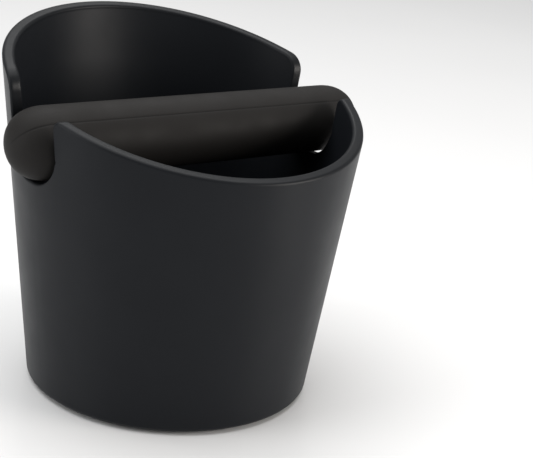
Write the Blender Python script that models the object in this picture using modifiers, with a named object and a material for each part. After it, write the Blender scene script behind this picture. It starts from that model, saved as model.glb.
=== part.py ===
"""Espresso knock box: a tapered bucket with an oblique rim, a rubber-covered steel bar
lying in two open slots, and a non-slip pad let into the underside.

Metres, +Z up. The origin is the middle of the pad's underside, on the worktop.
The bar runs along X. The rim is low at the front (-Y) and high at the back (+Y)."""

from math import asin, atan, cos, hypot, pi, sin, sqrt

import bmesh
import bpy

# Bucket
FOOT_RADIUS = 0.0551          # outer radius of the cone where it meets z = 0
WALL_TAPER = 0.111            # radius gained per metre of height
WALL = 0.0045                 # wall thickness, measured level
RIM_HEIGHT = 0.1171           # height of the rim plane on the bucket's axis
RIM_SLOPE = 0.2745            # rise of the rim plane toward the back
SLOT_EDGE = 0.0009            # rounding of the wall's two corners round the slots
RIM_EDGE = 0.0013             # and along the rim
CORNER_RADIUS = 0.0022        # outer corner under the wall
FLOOR = 0.0035                # floor thickness
FLOOR_FILLET = 0.0060         # inner corner between floor and wall
FLOOR_RING = 0.0220           # radius of the innermost ring of floor faces

# Bar
BAR_RADIUS = 0.0132
BAR_DROP = 0.0172             # axis of the bar below the rim plane, in the middle
BAR_HEIGHT = RIM_HEIGHT - BAR_DROP
DOME_LENGTH = 0.0148          # how far each domed end runs past the cylindrical part
DOME_POWER = 2.36             # 2 is an ellipse; higher is blunter
DOME_INSET = 0.0039           # the domes start this far inside the bucket's outer face
BAR_STRAIGHT = FOOT_RADIUS + WALL_TAPER * BAR_HEIGHT - DOME_INSET
BAR_SHIFT = 0.0034            # the bar lies this far toward +X in its slots
CORE_RADIUS = 0.0050
CORE_END_COVER = 0.0111       # rubber beyond each end of the core
CORE_HALF_LENGTH = BAR_STRAIGHT + DOME_LENGTH - CORE_END_COVER
CORE_CHAMFER = 0.0006
BOND_GAP = 0.0003             # between the core and the rubber round it
PIN_HOLE_RADIUS = 0.0016      # left by the pins that held the core in the mould
PIN_HOLE_OFFSET = 0.0400
PIN_HOLE_REACH = BAR_RADIUS - 0.0020   # from the bar's surface into the bore

# Slots for the bar
SIDE_CLEARANCE = 0.0014
SEAT_CLEARANCE = 0.0003
SLOT_CORNER = 0.0128          # radius of the slot's two bottom corners
FRONT_LIP_RADIUS = 0.0030     # slot cheek into the rim, low side
BACK_LIP_RADIUS = 0.0080      # slot cheek into the rim, high side
SLOT_HALF = BAR_RADIUS + SIDE_CLEARANCE
SLOT_BOTTOM = BAR_HEIGHT - BAR_RADIUS - SEAT_CLEARANCE
CHEEK_BOTTOM = SLOT_BOTTOM + SLOT_CORNER
BAND_MARGIN = 0.0020
BAND_TOP = SLOT_BOTTOM - SLOT_EDGE - BAND_MARGIN   # below this the wall is a plain cone

# Non-slip pad
PAD_PROUD = 0.0012            # the pad holds the bucket this far off the worktop
PAD_THICKNESS = 0.0030
PAD_GAP = 0.0003
PAD_MARGIN = 0.0052           # from the bucket's outer face in to the pad
PAD_RADIUS = FOOT_RADIUS - PAD_MARGIN
PAD_EDGE = 0.0005
GROOVE_DEPTH = 0.0008
GROOVE_WIDTH = 0.0020
GROOVE_RADII = (0.020, 0.028, 0.036)
POCKET_RADIUS = PAD_RADIUS + PAD_GAP
POCKET_TOP = PAD_THICKNESS + PAD_GAP
FLOOR_TOP = POCKET_TOP + FLOOR

# How finely the shapes are meshed
TURN_STEPS = 72
WALL_STEPS = 30               # columns of faces across the front, and across the back
HOLE_STEPS = 24
DOME_STEPS = 12
ARC_STEPS = 6
CORNER_STEPS = 3
FILLET_STEPS = 5
FRONT_LIP_STEPS = 4
EDGE_STEPS = 3
UPPER_ROWS = 3                # rows of faces from the foot of the slot's cheeks to the rim


def clear_scene():
    for thing in list(bpy.data.objects):
        bpy.data.objects.remove(thing, do_unlink=True)
    for group in list(bpy.data.collections):
        bpy.data.collections.remove(group)


def material(name, colour, roughness, metallic=0.0):
    made = bpy.data.materials.new(name)
    made.use_nodes = True
    shader = made.node_tree.nodes["Principled BSDF"]
    shader.inputs["Base Color"].default_value = (*colour, 1.0)
    shader.inputs["Roughness"].default_value = roughness
    shader.inputs["Metallic"].default_value = metallic
    return made


def new_object(name, mesh, collection, made_of=None, location=(0, 0, 0), turn=(0, 0, 0)):
    thing = bpy.data.objects.new(name, mesh)
    thing.location = location
    thing.rotation_euler = turn
    collection.objects.link(thing)
    if made_of:
        mesh.materials.append(made_of)
    return thing


def turned(name, profile, collection, made_of, location=(0, 0, 0), turn=(0, 0, 0)):
    """A solid of revolution about its own Z. The profile is (radius, height), top to bottom."""
    mesh = bpy.data.meshes.new(name)
    points = [(radius, 0.0, height) for radius, height in profile]
    edges = [(i, i + 1) for i in range(len(points) - 1)]
    mesh.from_pydata(points, edges, [])
    thing = new_object(name, mesh, collection, made_of, location, turn)
    screw = thing.modifiers.new("turn", "SCREW")
    screw.steps = TURN_STEPS
    screw.render_steps = TURN_STEPS
    screw.use_merge_vertices = True
    screw.merge_threshold = 0.00001
    screw.use_smooth_shade = True
    return thing


def hole(target, name, radius, length, location, turn, cutters):
    """Cuts a round hole of this length, centred on its location, out of the target."""
    mesh = bpy.data.meshes.new(name)
    shape = bmesh.new()
    bmesh.ops.create_cone(
        shape, cap_ends=True, segments=HOLE_STEPS, radius1=radius, radius2=radius, depth=length
    )
    shape.to_mesh(mesh)
    shape.free()
    cutter = new_object(name, mesh, cutters, location=location, turn=turn)
    cutter.hide_render = True
    cutter.display_type = "WIRE"
    cut = target.modifiers.new(name, "BOOLEAN")
    cut.operation = "DIFFERENCE"
    cut.solver = "EXACT"
    cut.object = cutter


def outer_radius(height):
    return FOOT_RADIUS + WALL_TAPER * height


def inner_radius(height):
    return outer_radius(height) - WALL


def arc(centre, radius, start, end, steps):
    """Points on an arc, with angles in radians from the first axis toward the second."""
    angles = [start + (end - start) * i / steps for i in range(steps + 1)]
    return [(centre[0] + radius * cos(a), centre[1] + radius * sin(a)) for a in angles]


def lip(side, radius, steps):
    """Corner between a slot cheek and the rim as (y, z, edge radius), cheek first.

    The points lie one edge radius inside the outline, where the wall's flat faces end."""
    y = side * (SLOT_HALF + radius)
    z = RIM_HEIGHT + RIM_SLOPE * y - radius * hypot(1, RIM_SLOPE)
    start = pi if side > 0 else 0.0
    end = pi / 2 + atan(RIM_SLOPE)
    points = []
    for i in range(steps + 1):
        angle = start + (end - start) * i / steps
        edge = SLOT_EDGE + (RIM_EDGE - SLOT_EDGE) * i / steps
        points.append((y + (radius - edge) * cos(angle), z + (radius - edge) * sin(angle), edge))
    return points


def slot_outline():
    """Columns of one slot as (y, shelf height, top height, edge radius), front to back.

    The shelf is the slot's bottom; the top is None where the slot is open above it."""
    front = lip(-1, FRONT_LIP_RADIUS, FRONT_LIP_STEPS)
    back = lip(1, BACK_LIP_RADIUS, ARC_STEPS)
    flat = SLOT_HALF - SLOT_CORNER
    corner = SLOT_CORNER + SLOT_EDGE
    bottom = arc((-flat, CHEEK_BOTTOM), corner, pi, 1.5 * pi, ARC_STEPS)
    bottom += arc((flat, CHEEK_BOTTOM), corner, 1.5 * pi, 2 * pi, ARC_STEPS)
    columns = [(y, CHEEK_BOTTOM, z, edge) for y, z, edge in reversed(front)]
    columns += [(y, z, None, SLOT_EDGE) for y, z in bottom[1:-1]]
    columns += [(y, CHEEK_BOTTOM, z, edge) for y, z, edge in back]
    return columns


class Column:
    """One upright line of the wall: either level in y, beside and under a slot, or radial."""

    def __init__(self, side, y=None, shelf=None, top=None, edge=RIM_EDGE, angle=None):
        self.side = side
        self.edge = edge
        self.y = y
        self.shelf = shelf
        self.top = top
        self.angle = angle

    def at(self, radius_at, height):
        radius = radius_at(height)
        if self.angle is not None:
            return radius * cos(self.angle), radius * sin(self.angle), height
        y = self.y * min(1.0, radius / radius_at(BAND_TOP))
        return self.side * sqrt(radius * radius - y * y), y, height

    def on_ring(self, radius_at, radius, height):
        """The same column carried in to a smaller radius, for corners and floors."""
        x, y, _ = self.at(radius_at, 0.0)
        scale = radius / radius_at(0.0)
        return x * scale, y * scale, height

    def shelf_height(self, radius_at):
        if self.angle is None:
            return self.shelf
        return (BAND_TOP + self.top_height(radius_at)) / 2

    def top_height(self, radius_at):
        if self.angle is None:
            return self.top
        rise = RIM_SLOPE * sin(self.angle)
        level = RIM_HEIGHT - self.edge * hypot(1, RIM_SLOPE)
        return (level + rise * radius_at(0.0)) / (1 - rise * WALL_TAPER)


def wall_columns():
    """Every column in order round the bucket: right slot, back, left slot, front."""
    slot = slot_outline()
    right = [Column(1, *place) for place in slot]
    left = [Column(-1, *place) for place in reversed(slot)]
    band = outer_radius(BAND_TOP)
    front_start = -asin(-slot[0][0] / band)
    back_start = asin(slot[-1][0] / band)
    back = [
        Column(0, angle=back_start + (pi - 2 * back_start) * i / WALL_STEPS)
        for i in range(1, WALL_STEPS)
    ]
    front = [
        Column(0, angle=front_start - (pi + 2 * front_start) * i / WALL_STEPS)
        for i in range(WALL_STEPS - 1, 0, -1)
    ]
    return right + back + left + front


def ring_profiles():
    """(radius, height) rings from the middle outward to where the wall runs straight."""
    lean = atan(WALL_TAPER)
    centre = outer_radius(PAD_PROUD + CORNER_RADIUS) - CORNER_RADIUS / cos(lean)
    outside = [(FLOOR_RING, POCKET_TOP), (POCKET_RADIUS, POCKET_TOP), (POCKET_RADIUS, PAD_PROUD)]
    corner = (centre, PAD_PROUD + CORNER_RADIUS)
    outside += arc(corner, CORNER_RADIUS, -pi / 2, -lean, CORNER_STEPS)
    centre = inner_radius(FLOOR_TOP + FLOOR_FILLET) - FLOOR_FILLET / cos(lean)
    inside = [(FLOOR_RING, FLOOR_TOP)]
    fillet = (centre, FLOOR_TOP + FLOOR_FILLET)
    inside += arc(fillet, FLOOR_FILLET, -pi / 2, -lean, FILLET_STEPS)
    return outside, inside


def skin(shape, columns, radius_at, rings, middle_height):
    """Lofts one side of the shell through the columns; returns its points by (column, row)."""
    points = {}
    rows_below_cheeks = 3
    rows = len(rings) + rows_below_cheeks + UPPER_ROWS
    for c, column in enumerate(columns):
        for r, (radius, height) in enumerate(rings):
            points[c, r] = shape.verts.new(column.on_ring(radius_at, radius, height))
        start = rings[-1][1]
        shelf = column.shelf_height(radius_at)
        heights = [start + (BAND_TOP - start) / 2, BAND_TOP, shelf]
        top = column.top_height(radius_at)
        if top is not None:
            heights += [shelf + (top - shelf) * i / UPPER_ROWS for i in range(1, UPPER_ROWS + 1)]
        for r, height in enumerate(heights, len(rings)):
            points[c, r] = shape.verts.new(column.at(radius_at, height))
    middle = shape.verts.new((0.0, 0.0, middle_height))
    for c in range(len(columns)):
        d = (c + 1) % len(columns)
        shape.faces.new((middle, points[c, 0], points[d, 0]))
        for r in range(rows - 1):
            corners = (c, r), (d, r), (d, r + 1), (c, r + 1)
            if all(corner in points for corner in corners):
                shape.faces.new([points[corner] for corner in corners])
    return points


def neighbours(edges):
    """The two points that each point on the open edges is joined to."""
    joined = {}
    for edge in edges:
        first, second = edge.verts
        joined.setdefault(first, []).append(second)
        joined.setdefault(second, []).append(first)
    return joined


def round_edge(shape, edges, partner):
    """Closes the gap between the two skins along the rim and slots, with rounded corners.

    edges bound the outer skin. partner gives each of their points its point on the inner skin
    and the radius of the rounding there."""
    joined = neighbours(edges)
    strips = {}
    for point, (before, after) in joined.items():
        opposite, radius = partner[point]
        middle = (point.co + opposite.co) / 2
        across = point.co - middle
        along = (after.co - point.co).normalized() + (point.co - before.co).normalized()
        outward = along.cross(across).normalized()
        faces = [face.calc_center_median() for face in point.link_faces]
        away = len(faces) * point.co - sum(faces[1:], faces[0])
        if outward.dot(away) < 0:
            outward.negate()
        corner = arc((across.length - radius, 0.0), radius, 0.0, pi / 2, EDGE_STEPS)[1:]
        corner += [(-reach, rise) for reach, rise in reversed(corner)]
        along_wall = across.normalized()
        strip = [shape.verts.new(middle + along_wall * u + outward * v) for u, v in corner]
        strips[point] = [point, *strip, opposite]
    for edge in edges:
        first, second = (strips[point] for point in edge.verts)
        for i in range(len(first) - 1):
            shape.faces.new((first[i], second[i], second[i + 1], first[i + 1]))


def bucket_mesh():
    shape = bmesh.new()
    columns = wall_columns()
    outside, inside = ring_profiles()
    outer = skin(shape, columns, outer_radius, outside, POCKET_TOP)
    inner = skin(shape, columns, inner_radius, inside, FLOOR_TOP)
    more_rings = len(inside) - len(outside)
    partner = {
        point: (inner.get((c, r + more_rings)), columns[c].edge)
        for (c, r), point in outer.items()
    }
    outer_points = set(outer.values())
    open_edges = [
        edge
        for edge in shape.edges
        if len(edge.link_faces) == 1 and edge.verts[0] in outer_points
    ]
    round_edge(shape, open_edges, partner)
    bmesh.ops.recalc_face_normals(shape, faces=shape.faces)
    for face in shape.faces:
        face.smooth = True
    mesh = bpy.data.meshes.new("bucket")
    shape.to_mesh(mesh)
    shape.free()
    return mesh


def make_bucket(parts, made_of):
    new_object("bucket", bucket_mesh(), parts, made_of)


def make_pad(parts, made_of):
    profile = [(0.0, PAD_THICKNESS), (PAD_RADIUS, PAD_THICKNESS)]
    profile += [(PAD_RADIUS, PAD_EDGE), (PAD_RADIUS - PAD_EDGE, 0.0)]
    for radius in reversed(GROOVE_RADII):
        outer = radius + GROOVE_WIDTH / 2
        inner = radius - GROOVE_WIDTH / 2
        profile += [(outer, 0.0), (outer, GROOVE_DEPTH), (inner, GROOVE_DEPTH), (inner, 0.0)]
    profile.append((0.0, 0.0))
    turned("base_pad", profile, parts, made_of)


def make_bar(parts, cutters, steel, rubber):
    centre = (BAR_SHIFT, 0.0, BAR_HEIGHT)
    along_x = (0.0, pi / 2, 0.0)
    core = [
        (0.0, CORE_HALF_LENGTH),
        (CORE_RADIUS - CORE_CHAMFER, CORE_HALF_LENGTH),
        (CORE_RADIUS, CORE_HALF_LENGTH - CORE_CHAMFER),
        (CORE_RADIUS, CORE_CHAMFER - CORE_HALF_LENGTH),
        (CORE_RADIUS - CORE_CHAMFER, -CORE_HALF_LENGTH),
        (0.0, -CORE_HALF_LENGTH),
    ]
    turned("bar_core", core, parts, steel, centre, along_x)

    dome = []
    for i in range(DOME_STEPS + 1):
        angle = pi / 2 * i / DOME_STEPS
        radius = BAR_RADIUS * sin(angle) ** (2 / DOME_POWER)
        reach = DOME_LENGTH * max(cos(angle), 0.0) ** (2 / DOME_POWER)
        dome.append((radius, BAR_STRAIGHT + reach))
    dome[-1] = (BAR_RADIUS, BAR_STRAIGHT)
    outline = dome + [(radius, -height) for radius, height in reversed(dome)]
    sleeve = turned("bar_sleeve", outline, parts, rubber, centre, along_x)
    bore_length = 2 * (CORE_HALF_LENGTH + BOND_GAP)
    hole(sleeve, "bore", CORE_RADIUS + BOND_GAP, bore_length, centre, along_x, cutters)
    for side in (-1, 1):
        spot = (BAR_SHIFT + side * PIN_HOLE_OFFSET, 0.0, BAR_HEIGHT - BAR_RADIUS)
        hole(sleeve, "pin_hole", PIN_HOLE_RADIUS, 2 * PIN_HOLE_REACH, spot, (0, 0, 0), cutters)


def main():
    clear_scene()
    parts = bpy.data.collections.new("espresso_knock_box")
    cutters = bpy.data.collections.new("cutters")
    bpy.context.scene.collection.children.link(parts)
    bpy.context.scene.collection.children.link(cutters)
    plastic = material("black_abs", (0.030, 0.031, 0.034), 0.42)
    rubber = material("bar_rubber", (0.040, 0.039, 0.038), 0.72)
    pad_rubber = material("pad_rubber", (0.018, 0.018, 0.018), 0.85)
    steel = material("steel", (0.55, 0.55, 0.56), 0.30, 1.0)
    make_bucket(parts, plastic)
    make_pad(parts, pad_rubber)
    make_bar(parts, cutters, steel, rubber)


main()
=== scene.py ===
"""The looks of the espresso knock box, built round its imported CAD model.

Metres, +Z up, in the CAD model's own frame: the bar runs along X and the rim is low
at the front (-Y). The bucket, the pad and the bar's rubber are made again here with finer
meshes in the same places; the bar's steel core keeps its CAD shape."""

from math import asin, atan, cos, hypot, pi, radians, sin, sqrt

import bmesh
import bpy
from mathutils import Matrix, Vector


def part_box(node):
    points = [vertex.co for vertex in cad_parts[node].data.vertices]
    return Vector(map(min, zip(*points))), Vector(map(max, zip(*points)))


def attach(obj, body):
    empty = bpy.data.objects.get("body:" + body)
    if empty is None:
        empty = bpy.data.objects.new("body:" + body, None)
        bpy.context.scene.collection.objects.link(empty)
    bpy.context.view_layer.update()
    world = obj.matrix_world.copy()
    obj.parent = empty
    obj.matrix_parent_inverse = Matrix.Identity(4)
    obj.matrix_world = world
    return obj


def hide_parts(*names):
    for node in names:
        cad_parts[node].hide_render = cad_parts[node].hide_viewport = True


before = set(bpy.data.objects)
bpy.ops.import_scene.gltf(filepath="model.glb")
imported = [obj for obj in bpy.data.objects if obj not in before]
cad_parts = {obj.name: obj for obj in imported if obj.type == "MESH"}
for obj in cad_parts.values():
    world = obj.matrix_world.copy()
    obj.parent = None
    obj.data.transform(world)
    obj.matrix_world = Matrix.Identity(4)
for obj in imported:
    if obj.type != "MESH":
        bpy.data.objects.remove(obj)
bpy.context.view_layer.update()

SLEEVE_LOW, SLEEVE_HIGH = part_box("bar_sleeve")
CORE_LOW, CORE_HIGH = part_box("bar_core")
PAD_LOW, PAD_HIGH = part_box("base_pad")
BUCKET_LOW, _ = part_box("bucket")

# Bar: its size and place are measured from the frame
BAR_CENTRE = (Vector(SLEEVE_LOW) + Vector(SLEEVE_HIGH)) / 2
BAR_RADIUS = (SLEEVE_HIGH[2] - SLEEVE_LOW[2]) / 2
BAR_HALF_LENGTH = (SLEEVE_HIGH[0] - SLEEVE_LOW[0]) / 2
CORE_RADIUS = (CORE_HIGH[2] - CORE_LOW[2]) / 2
CORE_HALF_LENGTH = (CORE_HIGH[0] - CORE_LOW[0]) / 2
DOME_LENGTH = 0.0148
DOME_POWER = 2.36             # 2 is an ellipse; higher is blunter
BOND_GAP = 0.0003
PIN_HOLE_RADIUS = 0.0016
PIN_HOLE_OFFSET = 0.0400      # along the bar, each way from its middle
PIN_HOLE_STOP = 0.0020        # the holes end this far below the bar's axis
SEAM_ANGLE = radians(135)     # the mould's parting line, from +Y round the bar
SEAM_WIDTH = 0.00045
SEAM_DEPTH = 0.00012
SEAM_SHOULDER = 0.45          # depth halfway up the groove, as a share of the full depth
SEAM_WIDEST = 0.30            # radians, where the dome closes to its tip
SEAM_FADE_RADIUS = 0.004      # nearer the tip than this the groove grows shallow

# Bucket
FOOT_RADIUS = 0.0551          # outer radius of the cone where it meets z = 0
WALL_TAPER = 0.111            # radius gained per metre of height
WALL = 0.0045
RIM_HEIGHT = 0.1171           # height of the rim plane on the bucket's axis
RIM_SLOPE = 0.2745            # rise of the rim plane toward the back
SLOT_EDGE = 0.0009            # rounding of the wall's two corners round the slots
RIM_EDGE = 0.0013             # and along the rim
CORNER_RADIUS = 0.0022        # outer corner between the underside and the wall
FLOOR = 0.0035                # floor thickness
FLOOR_FILLET = 0.0060         # inner corner between floor and wall
FLOOR_RING = 0.0220           # radius of the innermost ring of floor faces
SIDE_CLEARANCE = 0.0014       # between the bar and each slot cheek
SEAT_CLEARANCE = 0.0003       # under the bar
SLOT_CORNER = 0.0128
BAND_MARGIN = 0.0020          # plain wall left under the slots' rounded edge
FRONT_LIP_RADIUS = 0.0030
BACK_LIP_RADIUS = 0.0080
SLOT_HALF = BAR_RADIUS + SIDE_CLEARANCE
SLOT_BOTTOM = BAR_CENTRE.z - BAR_RADIUS - SEAT_CLEARANCE
CHEEK_BOTTOM = SLOT_BOTTOM + SLOT_CORNER
BAND_TOP = SLOT_BOTTOM - SLOT_EDGE - BAND_MARGIN

# Pad and the pocket it sits in
PAD_PROUD = BUCKET_LOW[2]
PAD_RADIUS = (PAD_HIGH[0] - PAD_LOW[0]) / 2
PAD_THICKNESS = PAD_HIGH[2] - PAD_LOW[2]
PAD_GAP = 0.0003
PAD_EDGE = 0.0005
GROOVE_DEPTH = 0.0008
GROOVE_WIDTH = 0.0020
GROOVE_RADII = (0.020, 0.028, 0.036)
POCKET_RADIUS = PAD_RADIUS + PAD_GAP
POCKET_TOP = PAD_THICKNESS + PAD_GAP
FLOOR_TOP = POCKET_TOP + FLOOR

# How finely the pieces are meshed
WALL_STEPS = 96
ARC_STEPS = 14
FRONT_LIP_STEPS = 8
EDGE_STEPS = 7
UPPER_ROWS = 4
SUPPORT = 0.0005              # a row of faces this near each round edge keeps the shading flat
CORNER_STEPS = 8
FILLET_STEPS = 10
TURN_STEPS = 160
PAD_EDGE_STEPS = 5
DOME_STEPS = 28
STRAIGHT_STEPS = 24           # along the bar, between its domes
HALF_STEPS = 74               # round the bar, between the two parting lines
HOLE_STEPS = 48

# Stage
FLOOR_HALF_SIZE = 6.0
LIGHT_TARGET = (0.0, 0.0, 0.07)
WORLD_STRENGTH = 0.30
WARM_WHITE = (1.0, 0.95, 0.90)
PURE_WHITE = (1.0, 1.0, 1.0)
CAMERA_PLACE = (-0.27794, -0.39069, 0.22459)
CAMERA_AZIMUTH = radians(-39.498)
CAMERA_ELEVATION = radians(18.557)
CAMERA_ROLL = radians(5.943)
SENSOR_WIDTH = 36.0           # mm
FOCAL_LENGTH = 88.34          # mm
NEAREST_SEEN = 0.01


def arc(centre, radius, start, end, steps):
    angles = [start + (end - start) * i / steps for i in range(steps + 1)]
    return [(centre[0] + radius * cos(a), centre[1] + radius * sin(a)) for a in angles]


def outer_radius(height):
    return FOOT_RADIUS + WALL_TAPER * height


def inner_radius(height):
    return outer_radius(height) - WALL


# ---------------------------------------------------------------- bucket

def lip(side, radius, steps):
    """Corner between a slot cheek and the rim as (y, z, edge radius), cheek first.

    The points lie one edge radius inside the outline, where the wall's flat faces end."""
    y = side * (SLOT_HALF + radius)
    z = RIM_HEIGHT + RIM_SLOPE * y - radius * hypot(1, RIM_SLOPE)
    start = pi if side > 0 else 0.0
    end = pi / 2 + atan(RIM_SLOPE)
    points = []
    for i in range(steps + 1):
        angle = start + (end - start) * i / steps
        edge = SLOT_EDGE + (RIM_EDGE - SLOT_EDGE) * i / steps
        points.append((y + (radius - edge) * cos(angle), z + (radius - edge) * sin(angle), edge))
    return points


def slot_outline():
    """Columns of one slot as (y, shelf height, top height, edge radius), front to back."""
    front = lip(-1, FRONT_LIP_RADIUS, FRONT_LIP_STEPS)
    back = lip(1, BACK_LIP_RADIUS, ARC_STEPS)
    flat = SLOT_HALF - SLOT_CORNER
    corner = SLOT_CORNER + SLOT_EDGE
    bottom = arc((-flat, CHEEK_BOTTOM), corner, pi, 1.5 * pi, ARC_STEPS)
    bottom += arc((flat, CHEEK_BOTTOM), corner, 1.5 * pi, 2 * pi, ARC_STEPS)
    columns = [(y, CHEEK_BOTTOM, z, edge) for y, z, edge in reversed(front)]
    columns += [(y, z, None, SLOT_EDGE) for y, z in bottom[1:-1]]
    columns += [(y, CHEEK_BOTTOM, z, edge) for y, z, edge in back]
    return columns


class Column:
    """One upright line of the wall: either level in y, beside and under a slot, or radial."""

    def __init__(self, side, y=None, shelf=None, top=None, edge=RIM_EDGE, angle=None):
        self.side = side
        self.edge = edge
        self.y = y
        self.shelf = shelf
        self.top = top
        self.angle = angle

    def at(self, radius_at, height):
        radius = radius_at(height)
        if self.angle is not None:
            return radius * cos(self.angle), radius * sin(self.angle), height
        y = self.y * min(1.0, radius / radius_at(BAND_TOP))
        return self.side * sqrt(radius * radius - y * y), y, height

    def on_ring(self, radius_at, radius, height):
        x, y, _ = self.at(radius_at, 0.0)
        scale = radius / radius_at(0.0)
        return x * scale, y * scale, height

    def shelf_height(self, radius_at):
        if self.angle is None:
            return self.shelf
        return (BAND_TOP + self.top_height(radius_at)) / 2

    def top_height(self, radius_at):
        if self.angle is None:
            return self.top
        rise = RIM_SLOPE * sin(self.angle)
        level = RIM_HEIGHT - self.edge * hypot(1, RIM_SLOPE)
        return (level + rise * radius_at(0.0)) / (1 - rise * WALL_TAPER)


def wall_columns():
    slot = slot_outline()
    right = [Column(1, *place) for place in slot]
    left = [Column(-1, *place) for place in reversed(slot)]
    band = outer_radius(BAND_TOP)
    front_start = -asin(-slot[0][0] / band)
    back_start = asin(slot[-1][0] / band)
    back = [
        Column(0, angle=back_start + (pi - 2 * back_start) * i / WALL_STEPS)
        for i in range(1, WALL_STEPS)
    ]
    front = [
        Column(0, angle=front_start - (pi + 2 * front_start) * i / WALL_STEPS)
        for i in range(WALL_STEPS - 1, 0, -1)
    ]
    return right + back + left + front


def ring_profiles():
    """(radius, height) rings under the bucket and inside it, from the middle outward."""
    lean = atan(WALL_TAPER)
    centre = outer_radius(PAD_PROUD + CORNER_RADIUS) - CORNER_RADIUS / cos(lean)
    outside = [(FLOOR_RING, POCKET_TOP), (POCKET_RADIUS, POCKET_TOP), (POCKET_RADIUS, PAD_PROUD)]
    foot = (centre, PAD_PROUD + CORNER_RADIUS)
    outside += arc(foot, CORNER_RADIUS, -pi / 2, -lean, CORNER_STEPS)
    centre = inner_radius(FLOOR_TOP + FLOOR_FILLET) - FLOOR_FILLET / cos(lean)
    inside = [(FLOOR_RING, FLOOR_TOP)]
    foot = (centre, FLOOR_TOP + FLOOR_FILLET)
    inside += arc(foot, FLOOR_FILLET, -pi / 2, -lean, FILLET_STEPS)
    return outside, inside


def skin(shape, columns, radius_at, rings, middle_height):
    """One side of the shell as faces; returns its points by (column, row)."""
    points = {}
    rows = len(rings) + 5 + UPPER_ROWS
    for c, column in enumerate(columns):
        for r, (radius, height) in enumerate(rings):
            points[c, r] = shape.verts.new(column.on_ring(radius_at, radius, height))
        start = rings[-1][1]
        shelf = column.shelf_height(radius_at)
        heights = [start + SUPPORT, (start + BAND_TOP) / 2, BAND_TOP, shelf - SUPPORT, shelf]
        top = column.top_height(radius_at)
        if top is not None:
            last = top - SUPPORT
            heights += [
                shelf + (last - shelf) * i / (UPPER_ROWS - 1) for i in range(1, UPPER_ROWS)
            ]
            heights.append(top)
        for r, height in enumerate(heights, len(rings)):
            points[c, r] = shape.verts.new(column.at(radius_at, height))
    middle = shape.verts.new((0.0, 0.0, middle_height))
    for c in range(len(columns)):
        d = (c + 1) % len(columns)
        shape.faces.new((middle, points[c, 0], points[d, 0]))
        for r in range(rows - 1):
            corners = (c, r), (d, r), (d, r + 1), (c, r + 1)
            if all(corner in points for corner in corners):
                shape.faces.new([points[corner] for corner in corners])
    return points


def round_edge(shape, edges, partner, worn):
    """Closes the gap between the two skins with a rounded edge, and marks it as worn."""
    joined = {}
    for edge in edges:
        first, second = edge.verts
        joined.setdefault(first, []).append(second)
        joined.setdefault(second, []).append(first)
    strips = {}
    for point, (before, after) in joined.items():
        opposite, radius = partner[point]
        middle = (point.co + opposite.co) / 2
        across = point.co - middle
        along = (after.co - point.co).normalized() + (point.co - before.co).normalized()
        outward = along.cross(across).normalized()
        faces = [face.calc_center_median() for face in point.link_faces]
        away = len(faces) * point.co - sum(faces[1:], faces[0])
        if outward.dot(away) < 0:
            outward.negate()
        corner = arc((across.length - radius, 0.0), radius, 0.0, pi / 2, EDGE_STEPS)[1:]
        corner += [((across.length - radius) / 2, radius)]
        corner += [(-reach, rise) for reach, rise in reversed(corner)]
        along_wall = across.normalized()
        strip = [shape.verts.new(middle + along_wall * u + outward * v) for u, v in corner]
        for vertex, (_, rise) in zip(strip, corner):
            vertex[worn] = rise / radius
        strips[point] = [point, *strip, opposite]
    for edge in edges:
        first, second = (strips[point] for point in edge.verts)
        for i in range(len(first) - 1):
            shape.faces.new((first[i], second[i], second[i + 1], first[i + 1]))


def finished(name, shape, sharp_angle):
    """A smooth-shaded object from a bmesh, with its hard edges kept."""
    bmesh.ops.recalc_face_normals(shape, faces=shape.faces)
    for face in shape.faces:
        face.smooth = True
    mesh = bpy.data.meshes.new(name)
    shape.to_mesh(mesh)
    shape.free()
    mesh.set_sharp_from_angle(angle=sharp_angle)
    thing = bpy.data.objects.new(name, mesh)
    bpy.context.scene.collection.objects.link(thing)
    return thing


def make_bucket():
    shape = bmesh.new()
    worn = shape.verts.layers.float.new("worn")
    columns = wall_columns()
    outside, inside = ring_profiles()
    outer = skin(shape, columns, outer_radius, outside, POCKET_TOP)
    inner = skin(shape, columns, inner_radius, inside, FLOOR_TOP)
    more_rings = len(inside) - len(outside)
    partner = {
        point: (inner.get((c, r + more_rings)), columns[c].edge)
        for (c, r), point in outer.items()
    }
    outer_points = set(outer.values())
    open_edges = [
        edge
        for edge in shape.edges
        if len(edge.link_faces) == 1 and edge.verts[0] in outer_points
    ]
    round_edge(shape, open_edges, partner, worn)
    return finished("bucket_shell", shape, radians(50))


# ---------------------------------------------------------------- turned pieces

def turned(name, profile, sharp_angle):
    """A closed solid turned about Z from (radius, height) points, top of the axis to its foot."""
    shape = bmesh.new()
    rings = []
    for radius, height in profile:
        if radius == 0.0:
            rings.append([shape.verts.new((0.0, 0.0, height))])
            continue
        turn = [2 * pi * i / TURN_STEPS for i in range(TURN_STEPS)]
        rings.append([shape.verts.new((radius * cos(a), radius * sin(a), height)) for a in turn])
    join_rings(shape, rings)
    return finished(name, shape, sharp_angle)


def join_rings(shape, rings):
    for upper, lower in zip(rings, rings[1:]):
        for i in range(max(len(upper), len(lower))):
            j = i + 1
            corners = [upper[i % len(upper)], upper[j % len(upper)]]
            corners += [lower[j % len(lower)], lower[i % len(lower)]]
            shape.faces.new(list(dict.fromkeys(corners)))


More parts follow.
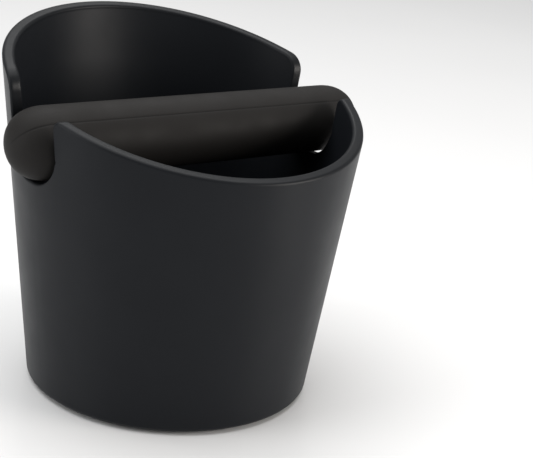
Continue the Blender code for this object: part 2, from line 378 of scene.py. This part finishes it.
def make_pad():
    profile = [(0.0, PAD_THICKNESS), (PAD_RADIUS - PAD_EDGE, PAD_THICKNESS)]
    profile += [(PAD_RADIUS, PAD_THICKNESS - PAD_EDGE)]
    profile += arc((PAD_RADIUS - PAD_EDGE, PAD_EDGE), PAD_EDGE, 0.0, -pi / 2, PAD_EDGE_STEPS)
    soft = GROOVE_DEPTH / 3
    for radius in reversed(GROOVE_RADII):
        outer = radius + GROOVE_WIDTH / 2
        inner = radius - GROOVE_WIDTH / 2
        profile += [(outer + soft, 0.0), (outer, soft), (outer, GROOVE_DEPTH)]
        profile += [(inner, GROOVE_DEPTH), (inner, soft), (inner - soft, 0.0)]
    profile.append((0.0, 0.0))
    return turned("pad_disc", profile, radians(35))


def sleeve_profile():
    """(position along the bar, radius) from one tip to the other."""
    straight = BAR_HALF_LENGTH - DOME_LENGTH
    dome = []
    for i in range(1, DOME_STEPS):
        angle = pi / 2 * i / DOME_STEPS
        radius = BAR_RADIUS * sin(angle) ** (2 / DOME_POWER)
        reach = DOME_LENGTH * cos(angle) ** (2 / DOME_POWER)
        dome.append((straight + reach, radius))
    middle = [
        (straight * (1 - i / (STRAIGHT_STEPS / 2)), BAR_RADIUS) for i in range(STRAIGHT_STEPS + 1)
    ]
    return dome + middle + [(-place, radius) for place, radius in reversed(dome)]


def around_bar(radius):
    """(angle, depth) round one ring of the bar, with the parting line's groove on both sides."""
    half = min(SEAM_WIDTH / radius, SEAM_WIDEST)
    fade = min(1.0, radius / SEAM_FADE_RADIUS)
    groove = [(-half, 0.0), (-half / 2, SEAM_SHOULDER), (0.0, 1.0)]
    groove += [(half / 2, SEAM_SHOULDER), (half, 0.0)]
    ring = []
    for seam in (SEAM_ANGLE, SEAM_ANGLE + pi):
        ring += [(seam + turn, depth * fade * SEAM_DEPTH) for turn, depth in groove]
        span = pi - 2 * half
        ring += [(seam + half + span * i / HALF_STEPS, 0.0) for i in range(1, HALF_STEPS)]
    return ring


def make_sleeve():
    shape = bmesh.new()
    seam = shape.verts.layers.float.new("seam")
    rings = [[shape.verts.new((BAR_HALF_LENGTH, 0.0, 0.0))]]
    for place, radius in sleeve_profile():
        ring = []
        for angle, depth in around_bar(radius):
            reach = radius - depth
            vertex = shape.verts.new((place, reach * cos(angle), reach * sin(angle)))
            # groove depth as 0..1, used to paint shade into the parting line
            vertex[seam] = depth / SEAM_DEPTH
            ring.append(vertex)
        rings.append(ring)
    rings.append([shape.verts.new((-BAR_HALF_LENGTH, 0.0, 0.0))])
    join_rings(shape, rings)
    bmesh.ops.translate(shape, verts=shape.verts, vec=BAR_CENTRE)
    sleeve = finished("bar_rubber", shape, radians(60))
    hollow_out(sleeve)
    return sleeve


def hollow_out(sleeve):
    """Cuts the bore for the steel core and the two pin holes that reach it from below."""
    along_x = Matrix.Rotation(pi / 2, 4, "Y")
    cuts = [(CORE_RADIUS + BOND_GAP, 2 * (CORE_HALF_LENGTH + BOND_GAP), BAR_CENTRE, along_x)]
    for side in (-1, 1):
        spot = BAR_CENTRE + Vector((side * PIN_HOLE_OFFSET, 0.0, -BAR_RADIUS))
        cuts.append((PIN_HOLE_RADIUS, 2 * BAR_RADIUS - 2 * PIN_HOLE_STOP, spot, Matrix.Identity(4)))
    for radius, length, spot, turn in cuts:
        shape = bmesh.new()
        ends = {"radius1": radius, "radius2": radius, "depth": length}
        bmesh.ops.create_cone(shape, cap_ends=True, segments=HOLE_STEPS, **ends)
        bmesh.ops.transform(shape, verts=shape.verts, matrix=Matrix.Translation(spot) @ turn)
        cutter = finished("cutter", shape, radians(30))
        cut = sleeve.modifiers.new("hole", "BOOLEAN")
        cut.operation = "DIFFERENCE"
        cut.solver = "EXACT"
        cut.object = cutter
        bpy.context.view_layer.objects.active = sleeve
        bpy.ops.object.modifier_apply(modifier=cut.name)
        bpy.data.objects.remove(cutter, do_unlink=True)


# ---------------------------------------------------------------- materials

class Nodes:
    """A material's node tree, with short ways to add and join nodes."""

    def __init__(self, name):
        self.material = bpy.data.materials.new(name)
        self.material.use_nodes = True
        self.tree = self.material.node_tree
        self.shader = self.tree.nodes["Principled BSDF"]
        self.place = self.add("ShaderNodeTexCoord").outputs["Object"]

    def add(self, kind, **settings):
        node = self.tree.nodes.new(kind)
        for name, value in settings.items():
            setattr(node, name, value)
        return node

    def join(self, source, target):
        self.tree.links.new(source, target)

    def stretched(self, scale):
        mapping = self.add("ShaderNodeMapping")
        mapping.inputs["Scale"].default_value = scale
        self.join(self.place, mapping.inputs["Vector"])
        return mapping.outputs["Vector"]

    def noise(self, scale, detail=2.0, roughness=0.5, place=None):
        node = self.add("ShaderNodeTexNoise")
        node.inputs["Scale"].default_value = scale
        node.inputs["Detail"].default_value = detail
        node.inputs["Roughness"].default_value = roughness
        self.join(place or self.place, node.inputs["Vector"])
        return node.outputs["Fac"]

    def span(self, source, low, high, start=0.0, end=1.0):
        """source from start..end carried to low..high."""
        node = self.add("ShaderNodeMapRange")
        node.inputs["From Min"].default_value = start
        node.inputs["From Max"].default_value = end
        node.inputs["To Min"].default_value = low
        node.inputs["To Max"].default_value = high
        self.join(source, node.inputs["Value"])
        return node.outputs["Result"]

    def math(self, operation, first, second):
        node = self.add("ShaderNodeMath", operation=operation)
        for socket, value in zip(node.inputs, (first, second)):
            if isinstance(value, (int, float)):
                socket.default_value = value
            else:
                self.join(value, socket)
        return node.outputs["Value"]

    def blend(self, factor, first, second):
        node = self.add("ShaderNodeMix", data_type="RGBA")
        self.join(factor, node.inputs["Factor"])
        for name, value in (("A", first), ("B", second)):
            socket = next(s for s in node.inputs if s.name == name and s.type == "RGBA")
            if isinstance(value, tuple):
                socket.default_value = (*value, 1.0)
            else:
                self.join(value, socket)
        return next(s for s in node.outputs if s.type == "RGBA")

    def mark(self, name):
        return self.add("ShaderNodeAttribute", attribute_name=name).outputs["Fac"]

    def bump(self, height, distance, strength=1.0, under=None):
        node = self.add("ShaderNodeBump")
        node.inputs["Distance"].default_value = distance
        node.inputs["Strength"].default_value = strength
        self.join(height, node.inputs["Height"])
        if under:
            self.join(under, node.inputs["Normal"])
        return node.outputs["Normal"]

    def finish(self, colour, roughness, normal):
        self.join(colour, self.shader.inputs["Base Color"])
        self.join(roughness, self.shader.inputs["Roughness"])
        self.join(normal, self.shader.inputs["Normal"])
        return self.material


def moulded_plastic():
    """Charcoal ABS with a fine spark-eroded grain, polished a little where hands and bar rub."""
    nodes = Nodes("moulded_charcoal_plastic")
    clouds = nodes.noise(45.0, 3.0)
    colour = nodes.blend(clouds, (0.0072, 0.0083, 0.0102), (0.0093, 0.0105, 0.0128))
    worn = nodes.mark("worn")
    colour = nodes.blend(nodes.math("MULTIPLY", worn, 0.5), colour, (0.0120, 0.0127, 0.0137))
    smudges = nodes.noise(28.0, 4.0, 0.6)
    roughness = nodes.span(smudges, 0.38, 0.46, 0.35, 0.65)
    roughness = nodes.math("SUBTRACT", roughness, nodes.math("MULTIPLY", worn, 0.06))
    grain = nodes.bump(nodes.noise(3600.0, 2.0), 0.00002, 0.35)
    waves = nodes.bump(nodes.noise(60.0, 1.0), 0.00008, 0.5, grain)
    nodes.shader.inputs["Specular IOR Level"].default_value = 0.12
    return nodes.finish(colour, roughness, waves)


def bar_rubber():
    """Matt black rubber with a pebbled skin; the parting line's groove is painted darker as painted
    shade.
    """
    nodes = Nodes("bar_rubber_skin")
    clouds = nodes.noise(60.0, 4.0, 0.6)
    colour = nodes.blend(clouds, (0.0128, 0.0119, 0.0113), (0.0160, 0.0149, 0.0142))
    specks = nodes.span(nodes.noise(1500.0, 2.0), 0.0, 1.0, 0.62, 0.75)
    colour = nodes.blend(nodes.math("MULTIPLY", specks, 0.25), colour, (0.018, 0.0175, 0.0168))
    # painted shade: the parting line's groove is darkened by its depth
    colour = nodes.blend(nodes.mark("seam"), colour, (0.0065, 0.0062, 0.0060))
    roughness = nodes.span(nodes.noise(90.0, 3.0), 0.56, 0.66, 0.3, 0.7)
    pebbles = nodes.bump(nodes.noise(2200.0, 3.0, 0.6), 0.00004, 0.45)
    nodes.shader.inputs["Specular IOR Level"].default_value = 0.12
    return nodes.finish(colour, roughness, pebbles)


def pad_rubber():
    nodes = Nodes("pad_rubber_skin")
    clouds = nodes.noise(80.0, 3.0)
    colour = nodes.blend(clouds, (0.010, 0.010, 0.010), (0.017, 0.017, 0.017))
    roughness = nodes.span(nodes.noise(120.0, 3.0), 0.78, 0.92)
    grain = nodes.bump(nodes.noise(1800.0, 3.0, 0.6), 0.00005, 0.6)
    return nodes.finish(colour, roughness, grain)


def drawn_steel():
    """Steel bar with the fine lengthwise lines of drawing."""
    nodes = Nodes("drawn_steel")
    lines = nodes.noise(1.0, 3.0, 0.6, nodes.stretched((40.0, 4000.0, 4000.0)))
    colour = nodes.blend(lines, (0.46, 0.46, 0.47), (0.62, 0.62, 0.62))
    roughness = nodes.span(lines, 0.24, 0.42)
    nodes.shader.inputs["Metallic"].default_value = 1.0
    return nodes.finish(colour, roughness, nodes.bump(lines, 0.00001, 0.4))


def studio_floor_material():
    nodes = Nodes("studio_floor")
    clouds = nodes.noise(3.0, 2.0)
    colour = nodes.blend(clouds, (0.80, 0.80, 0.80), (0.82, 0.82, 0.82))
    roughness = nodes.span(clouds, 0.18, 0.22)
    return nodes.finish(colour, roughness, nodes.bump(clouds, 0.00001, 0.1))


def dress(thing, made_of):
    thing.data.materials.clear()
    thing.data.materials.append(made_of)


# ---------------------------------------------------------------- stage

def make_floor():
    shape = bmesh.new()
    bmesh.ops.create_grid(shape, x_segments=8, y_segments=8, size=FLOOR_HALF_SIZE)
    floor = finished("studio_floor", shape, radians(30))
    dress(floor, studio_floor_material())


def area_light(name, watts, size, place, colour=PURE_WHITE):
    light = bpy.data.lights.new(name, "AREA")
    light.shape = "RECTANGLE"
    light.size, light.size_y = size
    light.energy = watts
    light.color = colour
    thing = bpy.data.objects.new(name, light)
    thing.location = place
    thing.rotation_euler = (Vector(LIGHT_TARGET) - Vector(place)).to_track_quat("-Z", "Y").to_euler()
    bpy.context.scene.collection.objects.link(thing)


def make_lights():
    world = bpy.data.worlds.new("studio")
    world.use_nodes = True
    background = world.node_tree.nodes["Background"]
    background.inputs["Color"].default_value = (*PURE_WHITE, 1.0)
    background.inputs["Strength"].default_value = WORLD_STRENGTH
    bpy.context.scene.world = world
    area_light("overhead", 66.0, (2.8, 2.7), (0.0, 0.40, 2.0))
    area_light("left_bank", 6.0, (0.6, 0.9), (-1.15, 0.25, 0.50))
    area_light("right_bank", 11.0, (0.6, 0.5), (0.75, -0.95, 0.34), WARM_WHITE)


def make_camera():
    back = Vector(
        (
            sin(CAMERA_AZIMUTH) * cos(CAMERA_ELEVATION),
            -cos(CAMERA_AZIMUTH) * cos(CAMERA_ELEVATION),
            sin(CAMERA_ELEVATION),
        )
    )
    right = Vector((cos(CAMERA_AZIMUTH), sin(CAMERA_AZIMUTH), 0.0))
    up = back.cross(right)
    rolled_right = right * cos(CAMERA_ROLL) + up * sin(CAMERA_ROLL)
    rolled_up = up * cos(CAMERA_ROLL) - right * sin(CAMERA_ROLL)
    camera = bpy.data.cameras.new("camera")
    camera.sensor_width = SENSOR_WIDTH
    camera.lens = FOCAL_LENGTH
    camera.clip_start = NEAREST_SEEN
    thing = bpy.data.objects.new("camera", camera)
    turn = Matrix((rolled_right, rolled_up, back)).transposed().to_4x4()
    thing.matrix_world = Matrix.Translation(CAMERA_PLACE) @ turn
    bpy.context.scene.collection.objects.link(thing)
    bpy.context.scene.camera = thing


# ---------------------------------------------------------------- assembly

def main():
    bucket = make_bucket()
    dress(bucket, moulded_plastic())
    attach(bucket, "bucket")
    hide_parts("bucket")

    pad = make_pad()
    dress(pad, pad_rubber())
    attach(pad, "bucket")
    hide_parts("base_pad")

    sleeve = make_sleeve()
    dress(sleeve, bar_rubber())
    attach(sleeve, "bar")
    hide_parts("bar_sleeve")

    dress(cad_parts["bar_core"], drawn_steel())

    make_floor()
    make_lights()
    make_camera()
    bpy.context.scene.view_settings.view_transform = "Standard"


main()
